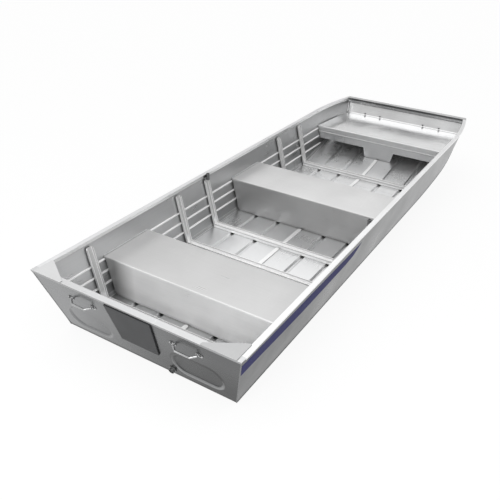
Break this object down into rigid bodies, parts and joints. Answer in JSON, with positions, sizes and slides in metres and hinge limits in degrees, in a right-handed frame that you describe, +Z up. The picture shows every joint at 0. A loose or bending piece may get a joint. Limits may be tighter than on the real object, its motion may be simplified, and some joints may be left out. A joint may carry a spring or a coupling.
{
  "type": "jon boat",
  "caption": "Flat-bottomed open aluminium jon boat with square bow, two box benches, bow deck, channel frames, raked transom with motor pad and carry handles.",
  "frame": {"origin": "centre of the overall box in plan, at the lowest line of the bottom, where it stands on a floor", "axes": "+X to the bow, +Y to port, +Z up"},
  "size_m": [3.6902, 1.2296, 0.387],
  "materials": {
    "mill_sheet": "mill finish, fine grain along the sheet",
    "transom_sheet": "mill finish, duller",
    "bright_extrusion": "bright extrusion",
    "bench_sheet": "pale satin sheet",
    "pad_grey": "dark grey, fine texture",
    "handle_rod": "bare rod",
    "socket_dark": "dark casting"
  },
  "bodies": {
    "root": {"bottom_plate": "mill_sheet", "bow_plate": "mill_sheet", "side_port": "mill_sheet", "side_starboard": "mill_sheet", "deck_face": "mill_sheet", "keel": "mill_sheet", "transom_plate": "transom_sheet", "motor_board": "transom_sheet", "chine_port": "bright_extrusion", "chine_starboard": "bright_extrusion", "transom_cap": "bright_extrusion", "bow_cap": "bright_extrusion", "gunwale_port": "bright_extrusion", "gunwale_starboard": "bright_extrusion", "rails_port": "bright_extrusion", "rails_starboard": "bright_extrusion", "rib_1": "bright_extrusion", "rib_2": "bright_extrusion", "rib_3": "bright_extrusion", "rib_4": "bright_extrusion", "rib_5": "bright_extrusion", "keelson": "bright_extrusion", "knee_port": "bench_sheet", "knee_starboard": "bench_sheet", "rear_bench": "bench_sheet", "mid_bench": "bench_sheet", "bow_deck": "bench_sheet", "motor_pad": "pad_grey", "drain_fitting": "handle_rod", "handle_stern_port": "handle_rod", "handle_stern_starboard": "handle_rod", "handle_bow_port": "handle_rod", "handle_bow_starboard": "handle_rod", "oar_socket_port": "socket_dark", "oar_socket_starboard": "socket_dark"}
  },
  "joints": []
}
